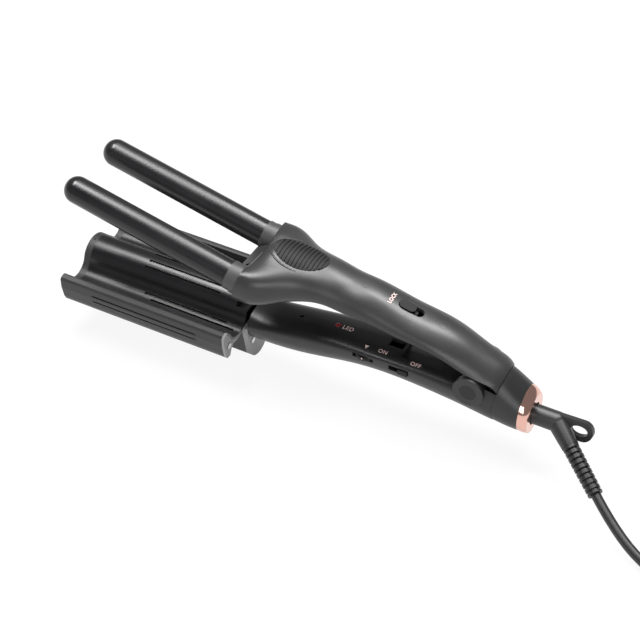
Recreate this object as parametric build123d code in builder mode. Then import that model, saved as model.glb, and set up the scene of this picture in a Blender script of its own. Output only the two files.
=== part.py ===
"""Hair waver: a ribbed wave plate and two heated barrels that close on it like tongs.

The jaw lies along X with its tips at +X, the barrels open upwards, and the lead swivels at the tail.
Places along the handle are given as distances from the rear end of the jaw, heights from the rim of the
jaw, and places on the upper arm as distances along and above the line through the hinge.
"""

import math
import os

from build123d import *

# Overall layout
JAW_LENGTH = 110.5
HANDLE_LENGTH = 173.8
STEM_REACH = 34.2
KEEL_DEPTH = 37.7
OPEN_ANGLE = 12.9
PIVOT_BACK = 140.0
PIVOT_RISE = 6.0
JAW_REAR_X = (HANDLE_LENGTH + STEM_REACH - JAW_LENGTH) / 2
RIM_Z = KEEL_DEPTH

# Wave plate and its troughs
TROUGH_Y = 20.2
TROUGH_RISE = 0.7
TROUGH_RADIUS = 9.0
TROUGH_LIP_ANGLE = 14.8
HUMP_RADIUS = 12.0
SHEET = 1.6
RIM_EDGE = (31.5, 1.2)
RIM_UNDER = (32.7, 0.1)
FRONT_CAP_LENGTH = 4.5
REAR_CAP = 1.5
KEEL_CAP_PROUD = 2.0
HUMP_CUT_LENGTH = 7.2
HUMP_CUT_HALF = 9.8
HUMP_CUT_TOP = -1.2
SLOT_WIDTH = 1.5
SLOT_DEPTH = 1.1

# Jaw housing
KEEL_TOP_HALF = 13.3
KEEL_TOP = -13.0
KEEL_LOW_HALF = 8.9
KEEL_LOW = -32.5
KEEL_WALL = 1.9
CAVITY_HALF = 11.2
VENT_WIDTH = 1.2
VENT_DEPTH = 0.7
VENT_START = 20.0
VENT_LENGTH = 69.0

# Heater under the hump
HEATER_START = 12.0
HEATER_LENGTH = 86.0
HEATER_FLOOR = -1.0
CLAMP_THICKNESS = 2.0
FUSE_RADIUS = 1.5
FUSE_LENGTH = 12.0

# Handles
WALL = 2.0
SHELL_GAP = 0.3
HEAD_CLEARANCE = 0.8
SPLIT_DROP = 5.5
NECK_START = -2.0
SHELL_END = -154.0
RECESS_FRONT = -96.8
RECESS_REAR = -120.0
RECESS_FLOOR = 3.4
RECESS_HALF = 8.5
CROWN_FULLNESS = 2.3

# Hinge
CHEEK_OUTSIDE = 16.0
CHEEK_INSIDE = 12.6
CHEEK_LENGTH = 8.0
BOSS_RADIUS = 9.0
BOSS_FACE = 16.0
EAR_INSIDE = 12.3
HUB_RADIUS = 8.0
HUB_FACE = 12.0
HUB_INSIDE = 5.0
PIN_RADIUS = 2.5
PIN_FIT = 0.05
PIN_HEAD = 15.2
PIN_CAP_RADIUS = 5.0
SPRING_RADIUS = 4.6
SPRING_HALF = 4.5

# Barrels on the upper arm
BARREL_RADIUS = 8.0
BARREL_WALL = 1.2
BARREL_DROP = -4.3
BARREL_START = 134.0
BARREL_END = 248.3
TIP_LENGTH = 7.5
TIP_PLUG = 6.0
HEAD_FRONT = 139.4
NOSE_FRONT = 145.9
NOSE_TOP = -5.3
NOSE_BOTTOM = -6.5
NOSE_HALF = 9.0
COLLAR_RADIUS = 8.9
COLLAR_STEP_RADIUS = 8.5
COLLAR_STEP = 143.0
COLLAR_END = 147.0
HEATER_ROD_START = 135.0
HEATER_ROD_LENGTH = 101.0

# Thumb pad
PAD_CENTRE = 116.5
PAD_LENGTH = 33.0
PAD_WIDTH = 20.5
PAD_CROWN_RADIUS = 18.0
PAD_RISE = 17.2
PAD_SLOPE = 7.4
PAD_DEPTH = 1.6
PAD_RIB_PROUD = 0.6
PAD_RIB = 1.1
PAD_RIB_PITCH = 2.3
PAD_RIBS = 13

# Lock
LOCK_SLOT_FRONT = 55.7
LOCK_SLOT_LENGTH = 15.3
LOCK_SLOT_WIDTH = 6.5
LOCK_BUTTON_LENGTH = 10.0
LOCK_TRAVEL = 4.5
LOCK_GAP = 0.25
LOCK_TOP = 20.9
LOCK_FLANGE_TOP = 17.6
LOCK_FLANGE = 1.4
HOOK_FRONT = 52.6
HOOK_DEPTH = 2.8
HOOK_WIDTH = 4.2
HOOK_BOTTOM = -2.3
HOOK_TOE = 2.7
HOOK_TOE_THICKNESS = 1.5
LATCH_FRONT = -86.4
LATCH_LENGTH = 8.8
LATCH_WIDTH = 6.2

# Controls in the lower handle
SWITCH_X = -98.0
SWITCH_RISE = 2.0
SWITCH_SLOT = 12.0
SWITCH_HEIGHT = 3.6
SWITCH_KNOB = 5.6
SWITCH_TRAVEL = 5.5
SWITCH_GAP = 0.25
SWITCH_FACE = 15.4
SWITCH_PLATE = (10.2, 11.2)
WHEEL_X = -76.0
WHEEL_RADIUS = 7.0
WHEEL_THICKNESS = 2.2
WHEEL_PROUD = 1.1
LED_X = -53.6
LED_RADIUS = 1.9
SENSOR_X = -30.5
SENSOR_RADIUS = 1.2
BOARD_TOP = -4.0
BOARD_THICKNESS = 1.6
BOARD_FRONT = -58.0
BOARD_LENGTH = 54.0
BOARD_WIDTH = 17.0
BOARD_POSTS = (-66.0, -104.0)
POT_SHAFT = 1.5

# Screws
SCREW_HEAD_RADIUS = 2.3
SCREW_HEAD = 1.4
SCREW_SHANK = 1.1
POST_RADIUS = 3.4
POST_TOP = -7.0
COVER_SCREWS = (-40.0, -124.0)
ARM_SCREWS = (28.0, 76.0)
ARM_SCREW_HEAD = 0.9

# Tail ring and swivel
AXIS_RISE = -7.7
RING_FRONT = -168.5
STEM_RADIUS = 5.8
STEM_FIT = 0.08
STEM_CORNER = -187.0
FLANGE_RADIUS = 7.2
FLANGE_FRONT = -160.6
FLANGE_THICKNESS = 2.0
SOCKET_RADIUS = 9.0
RING_BORE = 6.6
SLIP_CORE_RADIUS = 3.6
SLIP_CORE_LENGTH = 6.2
SLIP_RING_RADIUS = 4.8
LEAD_DIRECTION = Vector(-0.744, 0.597, -0.30).normalized()
ELBOW_LENGTH = 16.0
ELBOW_END_RADIUS = 4.8
RELIEF_LENGTH = 30.0
RELIEF_RADIUS = 4.6
RELIEF_END_RADIUS = 4.2
RELIEF_RIBS = 9
RELIEF_GROOVE = 0.8
LOOP_REACH = 15.1
LOOP_RADIUS = 5.9
LOOP_HOLE_REACH = 13.2
LOOP_ROOT_RADIUS = 5.4
LOOP_HOLE = (4.8, 2.95)
LOOP_THICKNESS = 3.6
LOOP_NORMAL = Vector(0, 0.96, 0.28)

# Lead
LEAD_RADIUS = 2.75
COIL_X = -350.0
COIL_Y = 12.0
COIL_RADIUS = 33.0
COIL_TURNS = 7.5
COIL_LAYERS = 2
TIE_THICKNESS = 0.8
TIE_WIDTH = 8.0
COIL_STUB = 23.0
PLUG_LENGTH = 30.0
PLUG_WIDTH = 34.0
PLUG_HEIGHT = 13.7
PLUG_SLEEVE_LENGTH = 10.0
PLUG_SLEEVE_RADIUS = 4.4
PIN_SPACING = 19.0
PLUG_PIN_RADIUS = 2.0
PLUG_PIN_LENGTH = 19.0

os.makedirs("parts", exist_ok=True)

PIVOT = Vector(JAW_REAR_X - PIVOT_BACK, 0, RIM_Z + PIVOT_RISE)
ALONG = Vector(math.cos(math.radians(OPEN_ANGLE)), 0, math.sin(math.radians(OPEN_ANGLE)))
ARM_UP = Vector(-math.sin(math.radians(OPEN_ANGLE)), 0, math.cos(math.radians(OPEN_ANGLE)))
HUMP_DROP = TROUGH_RISE - math.sqrt((TROUGH_RADIUS + HUMP_RADIUS) ** 2 - TROUGH_Y**2)
JOIN_ANGLE = math.degrees(math.atan2(TROUGH_RISE - HUMP_DROP, TROUGH_Y))
FRONT_CAP_X = JAW_LENGTH - FRONT_CAP_LENGTH

# Lower handle: place, half width, widest height, lowest height, top height
LOWER_STATIONS = [
    (NECK_START, 13.3, -8.0, -21.5, -0.2),
    (-14.0, 14.0, -6.0, -21.6, -0.4),
    (-35.0, 14.0, -3.0, -20.0, 3.2),
    (-54.0, 14.0, 0.0, -16.2, 5.7),
    (-80.0, 14.4, 3.8, -12.0, 7.2),
    (-100.0, 14.6, 4.5, -11.9, 7.7),
    (-127.0, 15.2, 2.5, -13.5, 7.5),
    (-142.0, 15.5, 0.0, -14.9, 6.5),
    (SHELL_END, 14.9, -3.5, -16.2, 6.0),
]
# Upper arm: place along the arm, then the right half of its outline from the lower edge to the crown
ARM_STATIONS = [
    (-14.0, [(12.4, 6.5), (11.4, 8.6), (8.0, 11.6), (4.0, 13.3), (0.0, 13.9)]),
    (-4.0, [(14.0, 9.8), (12.6, 11.6), (9.0, 14.3), (4.5, 16.0), (0.0, 16.6)]),
    (6.0, [(14.8, 10.0), (13.2, 12.7), (9.5, 15.9), (5.0, 17.8), (0.0, 18.4)]),
    (20.0, [(15.4, 12.2), (14.0, 15.0), (10.0, 18.1), (5.0, 20.1), (0.0, 20.7)]),
    (40.0, [(15.5, 11.4), (14.4, 14.6), (10.5, 17.9), (5.5, 19.8), (0.0, 20.3)]),
    (60.0, [(15.5, 10.0), (14.6, 13.8), (10.8, 17.6), (5.5, 19.9), (0.0, 20.5)]),
    (78.0, [(15.4, 6.9), (14.8, 12.0), (11.0, 16.8), (5.5, 19.5), (0.0, 20.1)]),
    (90.0, [(15.6, 5.7), (15.4, 10.8), (11.4, 15.8), (5.5, 18.6), (0.0, 19.3)]),
    (101.0, [(16.2, 1.9), (17.2, 8.2), (12.8, 14.6), (6.0, 17.9), (0.0, 18.8)]),
    (111.0, [(16.6, -4.8), (20.3, 2.0), (17.0, 10.6), (8.2, 15.8), (0.0, 17.4)]),
    (121.5, [(17.2, -11.2), (26.4, -3.4), (23.4, 7.6), (10.6, 13.6), (0.0, 16.1)]),
    (131.5, [(19.6, -14.2), (30.2, -6.2), (26.6, 6.8), (12.6, 10.8), (0.0, 14.6)]),
    (HEAD_FRONT, [(20.2, -14.8), (30.6, -6.4), (26.2, 5.6), (13.0, 3.8), (0.0, 1.2)]),
]
SHELL_STATIONS = ARM_STATIONS[1:8]
# Tail cover: place, half width, widest height, lowest height, top height
TAIL_STATIONS = [
    (-150.0, 15.2, -2.5, -15.6, 19.0),
    (-156.0, 14.7, -3.6, -16.4, 17.0),
    (-161.0, 14.4, -4.4, -17.4, 13.8),
    (-165.0, 13.9, -4.9, -18.2, 10.9),
    (RING_FRONT, 13.4, -5.2, -18.6, 8.2),
]
# Outside of the shell's cheeks under the arm's rear end, as the tail cover's stations
CHEEK_STATIONS = [(-157.0, 14.8, -2.6, -15.6, 17.6), (-140.0, 15.6, -1.5, -15.0, 19.0)]
# Tail ring: place, height of its centre, radius
RING_STATIONS = [(RING_FRONT, -5.2, 13.4), (-171.2, -6.1, 12.95), (-HANDLE_LENGTH, -7.5, 11.6)]


def jaw_plane(x):
    """Cross-section plane at x from the jaw's rear end: across and up from the rim."""
    return Plane(origin=(JAW_REAR_X + x, 0, RIM_Z), x_dir=(0, 1, 0), z_dir=(1, 0, 0))


def side_plane(y):
    """Side view plane at y: forward from the jaw's rear end and up from the rim."""
    return Plane(origin=(JAW_REAR_X, y, RIM_Z), x_dir=(1, 0, 0), z_dir=(0, -1, 0))


def top_plane(z):
    """Plan plane at z above the rim: forward from the jaw's rear end and across."""
    return Plane(origin=(JAW_REAR_X, 0, RIM_Z + z), x_dir=(1, 0, 0), z_dir=(0, 0, 1))


def arm_plane(u):
    """Cross-section plane of the upper arm at u from the hinge: across and up from its line."""
    return Plane(origin=PIVOT + ALONG * u, x_dir=(0, 1, 0), z_dir=ALONG)


def arm_side(y):
    """Side view plane of the upper arm at y: along it and up from its line."""
    return Plane(origin=PIVOT + Vector(0, y, 0), x_dir=ALONG, z_dir=(0, -1, 0))


def arm_top(w):
    """Plan plane of the upper arm at w above its line: along it and across."""
    return Plane(origin=PIVOT + ARM_UP * w, x_dir=ALONG, z_dir=ARM_UP)


def both_sides(half):
    """The outline's right half followed by its mirror image on the left."""
    return half + [(-y, z) for y, z in reversed(half[:-1])]


def on_circle(centre, radius, degrees):
    """A point on a circle."""
    turn = math.radians(degrees)
    return (centre[0] + radius * math.cos(turn), centre[1] + radius * math.sin(turn))


def save(builder, name):
    """Label one finished piece and write it."""
    builder.part.label = name
    export_step(builder.part, f"parts/{name}.step")


def wave_line(depth):
    """Draw the plate's line at a depth below its top from the right lip to the left one."""
    trough = TROUGH_RADIUS + depth
    right = (TROUGH_Y, TROUGH_RISE)
    left = (-TROUGH_Y, TROUGH_RISE)
    sweep = 180.0 - JOIN_ANGLE - TROUGH_LIP_ANGLE
    CenterArc(right, trough, -TROUGH_LIP_ANGLE, -sweep)
    CenterArc((0, HUMP_DROP), HUMP_RADIUS - depth, JOIN_ANGLE, 180.0 - 2 * JOIN_ANGLE)
    CenterArc(left, trough, 180.0 + TROUGH_LIP_ANGLE, sweep)


def keel_half(z, inset):
    """Half width of the keel's flat side at height z."""
    share = (z - KEEL_LOW) / (KEEL_TOP - KEEL_LOW)
    return KEEL_LOW_HALF + share * (KEEL_TOP_HALF - KEEL_LOW_HALF) - inset


def jaw_outline(under_plate):
    """Draw the closed outline of the jaw below the plate's top or underside."""
    depth = SHEET if under_plate else 0.0
    rim = RIM_UNDER if under_plate else RIM_EDGE
    lip = on_circle((TROUGH_Y, TROUGH_RISE), TROUGH_RADIUS + depth, -TROUGH_LIP_ANGLE)
    leg = [(32.7, 1.5), (35.2, 0.9), (36.2, -0.5), (36.1, -6.1), (34.5, -13.6), (32.9, -16.9)]
    inner = [(29.7, -17.1), (28.0, -12.8), (26.1, -11.2), (TROUGH_Y, -11.2), (14.6, -9.6)]
    keel = [(KEEL_TOP_HALF, KEEL_TOP), (KEEL_LOW_HALF, KEEL_LOW)]
    start = [lip, rim] + ([RIM_EDGE] if under_plate else [])
    half = start + leg + inner + keel
    wave_line(depth)
    Polyline(*half)
    Polyline(*[(-y, z) for y, z in half])
    ThreePointArc(half[-1], (0, -KEEL_DEPTH), (-half[-1][0], half[-1][1]))


def crown_points(half, wide, top):
    """Points of a full crown from its widest height on the left over the top to the right."""
    points = []
    for turn in (0, 10, 21, 33, 45, 57, 69, 80, 90):
        across = math.cos(math.radians(turn)) ** (2 / CROWN_FULLNESS)
        rise = math.sin(math.radians(turn)) ** (2 / CROWN_FULLNESS)
        points.append((half * across if turn < 90 else 0.0, wide + (top - wide) * rise))
    return both_sides(points)


def lower_section(station, inset):
    """One section of the lower handle, drawn in by an inset."""
    place, half, wide, low, top = station
    half = half - inset
    with BuildSketch(jaw_plane(place)) as section:
        with BuildLine():
            Spline(*crown_points(half, wide, top - inset))
            EllipticalCenterArc((0, wide), half, wide - low - inset, start_angle=180, arc_size=180)
        make_face()
    return section.sketch


def arm_section(station, inset):
    """One section of the upper arm, or of its hollow, which an inset draws in and leaves open below."""
    place, half = station
    edge, floor = half[0]
    crown = half[-1][1]
    drawn = [(y - inset * y / edge, w - inset * (w - floor) / (crown - floor)) for y, w in half]
    outline = both_sides(drawn)
    with BuildSketch(arm_plane(place)) as section:
        with BuildLine():
            Spline(*outline)
            if inset:
                low = [(y, floor - inset) for y, _ in (outline[-1], outline[0])]
                Polyline(outline[-1], *low, outline[0])
            else:
                Line(outline[-1], outline[0])
        make_face()
    return section.sketch


def tail_section(station, inset):
    """One oval section of the tail cover, drawn in by an inset."""
    place, half, wide, low, top = station
    with BuildSketch(jaw_plane(place)) as section:
        with BuildLine():
            EllipticalCenterArc((0, wide), half - inset, top - wide - inset, arc_size=180)
            EllipticalCenterArc((0, wide), half - inset, wide - low - inset, start_angle=180, arc_size=180)
        make_face()
    return section.sketch


def channel_section(place, station):
    """One section of the room that the closed arm leaves around the neck, on the arm's own planes."""
    half, wide, top = station[1] + HEAD_CLEARANCE, station[2], station[4] + HEAD_CLEARANCE
    wide = wide - PIVOT_RISE
    with BuildSketch(arm_plane(place + PIVOT_BACK)) as section:
        with BuildLine():
            Spline(*crown_points(half, wide, top - PIVOT_RISE))
            Polyline((-half, wide), (-half, -40), (half, -40), (half, wide))
        make_face()
    return section.sketch


def lower_height(x, column):
    """A height of the lower handle at x, between its stations."""
    for front, rear in zip(LOWER_STATIONS, LOWER_STATIONS[1:]):
        if rear[0] <= x <= front[0]:
            share = (front[0] - x) / (front[0] - rear[0])
            return front[column] + share * (rear[column] - front[column])
    return LOWER_STATIONS[0][column]


def arm_edge_height(u):
    """Height of the upper arm's lower edge at u, between its stations."""
    for rear, front in zip(ARM_STATIONS, ARM_STATIONS[1:]):
        if rear[0] <= u <= front[0]:
            share = (u - rear[0]) / (front[0] - rear[0])
            return rear[1][0][1] + share * (front[1][0][1] - rear[1][0][1])
    return ARM_STATIONS[0][1][0][1]


def axis_point(x):
    """A point on the swivel's axis at x from the jaw's rear end."""
    return Vector(JAW_REAR_X + x, 0, RIM_Z + AXIS_RISE)


def lead_plane(distance):
    """Cross-section plane of the strain relief at a distance from the elbow's corner."""
    return Plane(origin=axis_point(STEM_CORNER) + LEAD_DIRECTION * distance, z_dir=LEAD_DIRECTION)


# Jaw: wave plate, housing and caps
with BuildPart() as wave_plate:
    with BuildSketch(jaw_plane(0)):
        with BuildLine():
            top_lip = on_circle((TROUGH_Y, TROUGH_RISE), TROUGH_RADIUS, -TROUGH_LIP_ANGLE)
            under_lip = on_circle((TROUGH_Y, TROUGH_RISE), TROUGH_RADIUS + SHEET, -TROUGH_LIP_ANGLE)
            edge = [top_lip, RIM_EDGE, RIM_UNDER, under_lip]
            wave_line(0)
            wave_line(SHEET)
            Polyline(*edge)
            Polyline(*[(-y, z) for y, z in edge])
        make_face()
    extrude(amount=FRONT_CAP_X)
    with BuildSketch(top_plane(HUMP_CUT_TOP)):
        Rectangle(2 * HUMP_CUT_LENGTH, 2 * HUMP_CUT_HALF)
    extrude(amount=HUMP_RADIUS, mode=Mode.SUBTRACT)
    for side in (1, -1):
        for centre, radius, angle, rear, front in (
            ((0, HUMP_DROP), HUMP_RADIUS, 90.0 - 16.0 * side, 20.0, 69.0),
            ((0, HUMP_DROP), HUMP_RADIUS, 90.0 - 36.5 * side, 19.0, 70.0),
            ((side * TROUGH_Y, TROUGH_RISE), TROUGH_RADIUS, -90.0 - 26.4 * side, 10.0, 65.5),
            ((side * TROUGH_Y, TROUGH_RISE), TROUGH_RADIUS, -90.0 - 7.7 * side, 4.0, 60.0),
        ):
            y, z = on_circle(centre, radius, angle)
            outward = Vector(0, y - centre[0], z - centre[1]).normalized()
            up = outward if centre[0] == 0 else outward * -1
            middle = Vector(JAW_REAR_X + (rear + front) / 2, y, RIM_Z + z)
            with BuildSketch(Plane(origin=middle + up, x_dir=(1, 0, 0), z_dir=up)):
                SlotOverall(front - rear, SLOT_WIDTH)
            extrude(amount=-(1 + SLOT_DEPTH), mode=Mode.SUBTRACT)
save(wave_plate, "wave_plate")

with BuildPart() as jaw_housing:
    with BuildSketch(jaw_plane(REAR_CAP)):
        with BuildLine():
            jaw_outline(True)
        make_face()
    extrude(amount=FRONT_CAP_X - REAR_CAP)
    with BuildSketch(jaw_plane(REAR_CAP)) as keel_cavity:
        with BuildLine():
            low = (keel_half(KEEL_LOW, KEEL_WALL), KEEL_LOW)
            high = (CAVITY_HALF, KEEL_TOP)
            Polyline((-low[0], low[1]), (-high[0], high[1]), (-high[0], 12), (high[0], 12), high, low)
            ThreePointArc(low, (0, KEEL_WALL - KEEL_DEPTH), (-low[0], low[1]))
        make_face()
    extrude(amount=FRONT_CAP_X - REAR_CAP, mode=Mode.SUBTRACT)
    for side in (1, -1):
        with BuildSketch(jaw_plane(REAR_CAP)):
            with BuildLine():
                hollow = [(33.6, -1.6), (34.5, -2.4), (34.4, -6.2), (33.2, -12.4), (31.3, -13.0), (31.0, -5.5)]
                Polyline(*[(side * y, z) for y, z in hollow], close=True)
            make_face()
        extrude(amount=FRONT_CAP_X - REAR_CAP, mode=Mode.SUBTRACT)
        for height, face in ((-4.5, 36.1), (-8.9, 35.5)):
            with BuildSketch(side_plane(side * face)):
                with Locations((VENT_START + VENT_LENGTH / 2, height)):
                    SlotOverall(VENT_LENGTH, VENT_WIDTH)
            extrude(amount=VENT_DEPTH, both=True, mode=Mode.SUBTRACT)
    for rib in (11.0, FRONT_CAP_X - 3.0):
        with BuildSketch(jaw_plane(rib)):
            with Locations((0, -14.5)):
                Rectangle(2 * CAVITY_HALF, 9.0)
        extrude(amount=2.0)
    with BuildSketch(jaw_plane(REAR_CAP)):
        with Locations((0, -14.5)):
            Rectangle(12.0, 5.0)
    extrude(amount=18.0, mode=Mode.SUBTRACT)
save(jaw_housing, "jaw_housing")

with BuildPart() as jaw_front_cap:
    with BuildSketch(jaw_plane(FRONT_CAP_X)):
        with BuildLine():
            jaw_outline(False)
        make_face()
    extrude(amount=FRONT_CAP_LENGTH)
    for side in (1, -1):
        with Locations((JAW_REAR_X + FRONT_CAP_X + 2.0, side * 2.2, RIM_Z + HUMP_DROP + HUMP_RADIUS - 0.2)):
            Sphere(0.6)
    chamfer(jaw_front_cap.faces().sort_by(Axis.X)[-1].edges(), length=0.4)
save(jaw_front_cap, "jaw_front_cap")

for side, name in ((1, "jaw_rear_cap_left"), (-1, "jaw_rear_cap_right")):
    with BuildPart() as leg_cap:
        with BuildSketch(jaw_plane(0)):
            with BuildLine():
                jaw_outline(True)
            make_face()
        extrude(amount=REAR_CAP)
        with BuildSketch(jaw_plane(0)):
            with Locations((side * (KEEL_TOP_HALF + 0.2 + 20), -10)):
                Rectangle(40, 60)
        extrude(amount=REAR_CAP, mode=Mode.INTERSECT)
        with BuildSketch(jaw_plane(0)):
            with Locations((side * 31.0, -8.7)):
                Circle(SCREW_SHANK)
        extrude(amount=REAR_CAP, mode=Mode.SUBTRACT)
    save(leg_cap, name)

with BuildPart() as keel_cap:
    with BuildSketch(jaw_plane(-KEEL_CAP_PROUD)) as keel_face:
        with BuildLine():
            bar = [(KEEL_LOW_HALF, KEEL_LOW), (KEEL_TOP_HALF, KEEL_TOP), (KEEL_TOP_HALF, -9.6)]
            Polyline(*bar, *[(-y, z) for y, z in reversed(bar)])
            ThreePointArc(bar[0], (0, -KEEL_DEPTH), (-bar[0][0], bar[0][1]))
        make_face()
    extrude(amount=KEEL_CAP_PROUD + REAR_CAP)
    with BuildSketch(jaw_plane(-KEEL_CAP_PROUD)):
        with Locations((0, -14.5)):
            Rectangle(12.0, 5.0)
        with Locations((7.6, -22.2)):
            Circle(SCREW_SHANK)
    extrude(amount=KEEL_CAP_PROUD + REAR_CAP, mode=Mode.SUBTRACT)
save(keel_cap, "keel_cap")

with BuildPart() as plate_end_cap:
    with BuildSketch(jaw_plane(HUMP_CUT_LENGTH)):
        with Locations((0, HUMP_DROP)):
            Circle(HUMP_RADIUS - SHEET)
        with Locations((0, HUMP_CUT_TOP - SHEET - 15)):
            Rectangle(40, 30, mode=Mode.SUBTRACT)
    extrude(amount=SHEET)
    with BuildSketch(jaw_plane(REAR_CAP)):
        with Locations((0, HUMP_DROP)):
            Circle(HUMP_RADIUS - SHEET)
        with Locations((0, HUMP_CUT_TOP - SHEET / 2)):
            Rectangle(40, SHEET, mode=Mode.INTERSECT)
    extrude(amount=HUMP_CUT_LENGTH - REAR_CAP)
save(plate_end_cap, "plate_end_cap")

with BuildPart() as jaw_mount_bar:
    with BuildSketch(jaw_plane(-24.0)):
        with Locations((0, -14.5)):
            Rectangle(12.0, 5.0)
    extrude(amount=37.0)
save(jaw_mount_bar, "jaw_mount_bar")

with BuildPart() as plate_heater:
    with BuildSketch(jaw_plane(HEATER_START)):
        with Locations((0, HUMP_DROP)):
            Circle(HUMP_RADIUS - SHEET)
        with Locations((0, HEATER_FLOOR - 15)):
            Rectangle(40, 30, mode=Mode.SUBTRACT)
    extrude(amount=HEATER_LENGTH)
save(plate_heater, "plate_heater")

with BuildPart() as heater_clamp:
    with BuildSketch(jaw_plane(HEATER_START)):
        with Locations((0, HEATER_FLOOR - CLAMP_THICKNESS / 2)):
            Rectangle(2 * (HUMP_RADIUS - SHEET) - 2.0, CLAMP_THICKNESS)
    extrude(amount=HEATER_LENGTH)
save(heater_clamp, "heater_clamp")

with BuildPart() as thermal_fuse:
    with BuildSketch(jaw_plane(HEATER_START + HEATER_LENGTH / 2)):
        with Locations((0, HEATER_FLOOR - CLAMP_THICKNESS - FUSE_RADIUS)):
            Circle(FUSE_RADIUS)
    extrude(amount=FUSE_LENGTH)
save(thermal_fuse, "thermal_fuse")

with BuildPart() as jaw_screws:
    for y, z, face in ((31.0, -8.7, 0.0), (-31.0, -8.7, 0.0), (7.6, -22.2, -KEEL_CAP_PROUD)):
        with BuildSketch(jaw_plane(face - 0.6)):
            with Locations((y, z)):
                Circle(1.8)
        extrude(amount=0.6)
        with BuildSketch(jaw_plane(face)):
            with Locations((y, z)):
                Circle(SCREW_SHANK)
        extrude(amount=REAR_CAP - face)
save(jaw_screws, "jaw_screws")

# Lower handle: shell, cover and what they hold
body_sections = [lower_section(station, 0.0) for station in LOWER_STATIONS]
cavity_sections = [lower_section(station, WALL) for station in LOWER_STATIONS[1:]]

with BuildPart() as lower_body:
    loft(body_sections)

with BuildPart() as lower_cavity:
    loft(cavity_sections)

with BuildPart() as above_split:
    with BuildSketch(side_plane(30)):
        with BuildLine():
            split = [(place, wide - SPLIT_DROP) for place, _, wide, _, _ in LOWER_STATIONS]
            Spline(*split)
            Polyline(split[-1], (SHELL_END, 40), (NECK_START, 40), split[0])
        make_face()
    extrude(amount=60)

with BuildPart() as shell_posts:
    with BuildSketch(top_plane(POST_TOP)):
        with Locations(*[(x, 0) for x in COVER_SCREWS]):
            Circle(POST_RADIUS)
            Circle(SCREW_SHANK, mode=Mode.SUBTRACT)
    extrude(amount=20)
    add(lower_body.part, mode=Mode.INTERSECT)

with BuildPart() as cover_posts:
    with BuildSketch(top_plane(POST_TOP)):
        with Locations(*[(x, 0) for x in COVER_SCREWS]):
            Circle(POST_RADIUS)
    extrude(amount=-20)
    with BuildSketch(top_plane(BOARD_TOP - BOARD_THICKNESS)):
        with Locations(*[(x, 0) for x in BOARD_POSTS]):
            Circle(POST_RADIUS)
    extrude(amount=-20)
    add(lower_body.part, mode=Mode.INTERSECT)

with BuildPart() as shell_cheeks:
    for side in (1, -1):
        with BuildSketch(arm_side(side * CHEEK_OUTSIDE)):
            with BuildLine():
                rear = ARM_STATIONS[0][0] - SHELL_GAP
                front = rear + CHEEK_LENGTH
                tops = [arm_edge_height(place + SHELL_GAP) - 2 * SHELL_GAP for place in (rear, front)]
                Polyline((rear, -5), (front, -5), (front, tops[1]), (rear, tops[0]), close=True)
            make_face()
        extrude(amount=side * (CHEEK_OUTSIDE - CHEEK_INSIDE))
    loft([tail_section(station, 0.0) for station in CHEEK_STATIONS], mode=Mode.INTERSECT)

with BuildPart() as lower_shell:
    add(lower_body.part)
    add(lower_cavity.part, mode=Mode.SUBTRACT)
    add(above_split.part, mode=Mode.INTERSECT)
    add(shell_cheeks.part)
    for side in (1, -1):
        with BuildSketch(side_plane(side * BOSS_FACE)):
            with Locations((-PIVOT_BACK, PIVOT_RISE)):
                Circle(BOSS_RADIUS)
        extrude(amount=side * (BOSS_FACE - EAR_INSIDE))
    with BuildSketch(side_plane(EAR_INSIDE)):
        with Locations((-PIVOT_BACK, PIVOT_RISE)):
            Circle(HUB_RADIUS + 2 * SHELL_GAP)
        with Locations((-PIVOT_BACK, PIVOT_RISE + 15)):
            Rectangle(2 * (HUB_RADIUS + 2 * SHELL_GAP), 30)
    extrude(amount=2 * EAR_INSIDE, mode=Mode.SUBTRACT)
    with BuildSketch(side_plane(BOSS_FACE)):
        with Locations((-PIVOT_BACK, PIVOT_RISE)):
            Circle(PIN_RADIUS)
    extrude(amount=2 * BOSS_FACE, mode=Mode.SUBTRACT)
    for side in (1, -1):
        with BuildSketch(side_plane(side * BOSS_FACE)):
            with Locations((-PIVOT_BACK, PIVOT_RISE)):
                Circle(PIN_CAP_RADIUS)
        extrude(amount=side * (BOSS_FACE - PIN_HEAD), mode=Mode.SUBTRACT)
    with BuildSketch(top_plane(RECESS_FLOOR)):
        with Locations(((RECESS_FRONT + RECESS_REAR) / 2, 0)):
            Rectangle(RECESS_FRONT - RECESS_REAR, 2 * RECESS_HALF)
    extrude(amount=20, mode=Mode.SUBTRACT)
    with BuildSketch(top_plane(RECESS_FLOOR)):
        with Locations(((RECESS_FRONT + RECESS_REAR) / 2, 0)):
            Rectangle(RECESS_FRONT - RECESS_REAR + WALL, 2 * RECESS_HALF + WALL)
    extrude(amount=-WALL)
    with BuildSketch(top_plane(0)):
        with Locations((LATCH_FRONT - LATCH_LENGTH / 2, 0)):
            Rectangle(LATCH_LENGTH, LATCH_WIDTH)
        with Locations((LED_X, 0)):
            Circle(LED_RADIUS)
        with Locations((SENSOR_X, 0)):
            Circle(SENSOR_RADIUS)
    extrude(amount=20, mode=Mode.SUBTRACT)
    with BuildSketch(side_plane(30)):
        with Locations((SWITCH_X, SWITCH_RISE)):
            Rectangle(SWITCH_SLOT, SWITCH_HEIGHT)
        with Locations((WHEEL_X, SWITCH_RISE)):
            Rectangle(2 * WHEEL_RADIUS - 1.4, WHEEL_THICKNESS + 2 * SHELL_GAP)
    extrude(amount=20, mode=Mode.SUBTRACT)
    with BuildSketch(jaw_plane(-24.0)):
        with Locations((0, -14.5)):
            Rectangle(12.0, 5.0)
    extrude(amount=24.0, mode=Mode.SUBTRACT)
    add(shell_posts.part)
save(lower_shell, "lower_shell")

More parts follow.
